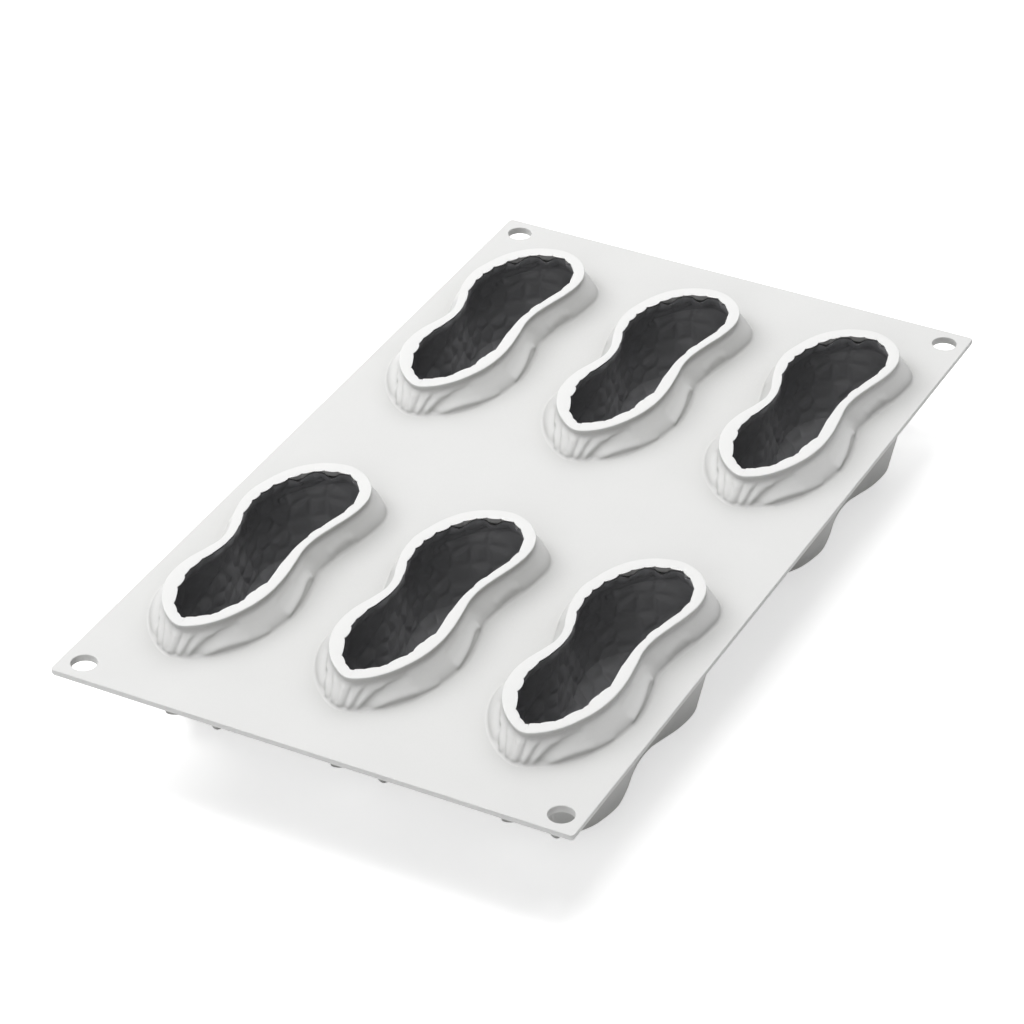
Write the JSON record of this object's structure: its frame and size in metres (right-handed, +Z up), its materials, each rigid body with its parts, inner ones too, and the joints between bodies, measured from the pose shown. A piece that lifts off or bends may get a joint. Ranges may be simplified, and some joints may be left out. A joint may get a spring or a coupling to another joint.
{
  "type": "silicone dessert mold",
  "caption": "Flexible tray mould: a flat sheet with corner holes carries peanut-shaped cups, each a raised flat rim above, a deep bowl below and a dark shell-textured lining.",
  "frame": {"origin": "the level that the cups stand on, under the middle of the sheet", "axes": "+X to the right along the short side, +Y to the back along the long side, +Z up out of the cups"},
  "size_m": [0.175, 0.3, 0.047],
  "materials": {
    "white_silicone": "white silicone with a smooth satin surface straight from the moulding tool",
    "charcoal_silicone": "charcoal silicone, matt, with the pitted and ribbed relief of a peanut shell"
  },
  "bodies": {
    "root": {"mould_sheet": "white_silicone", "cup_front_left": "white_silicone", "cup_front_middle": "white_silicone", "cup_front_right": "white_silicone", "cup_back_left": "white_silicone", "cup_back_middle": "white_silicone", "cup_back_right": "white_silicone", "lining_front_left": "charcoal_silicone", "lining_front_middle": "charcoal_silicone", "lining_front_right": "charcoal_silicone", "lining_back_left": "charcoal_silicone", "lining_back_middle": "charcoal_silicone", "lining_back_right": "charcoal_silicone"}
  },
  "joints": []
}
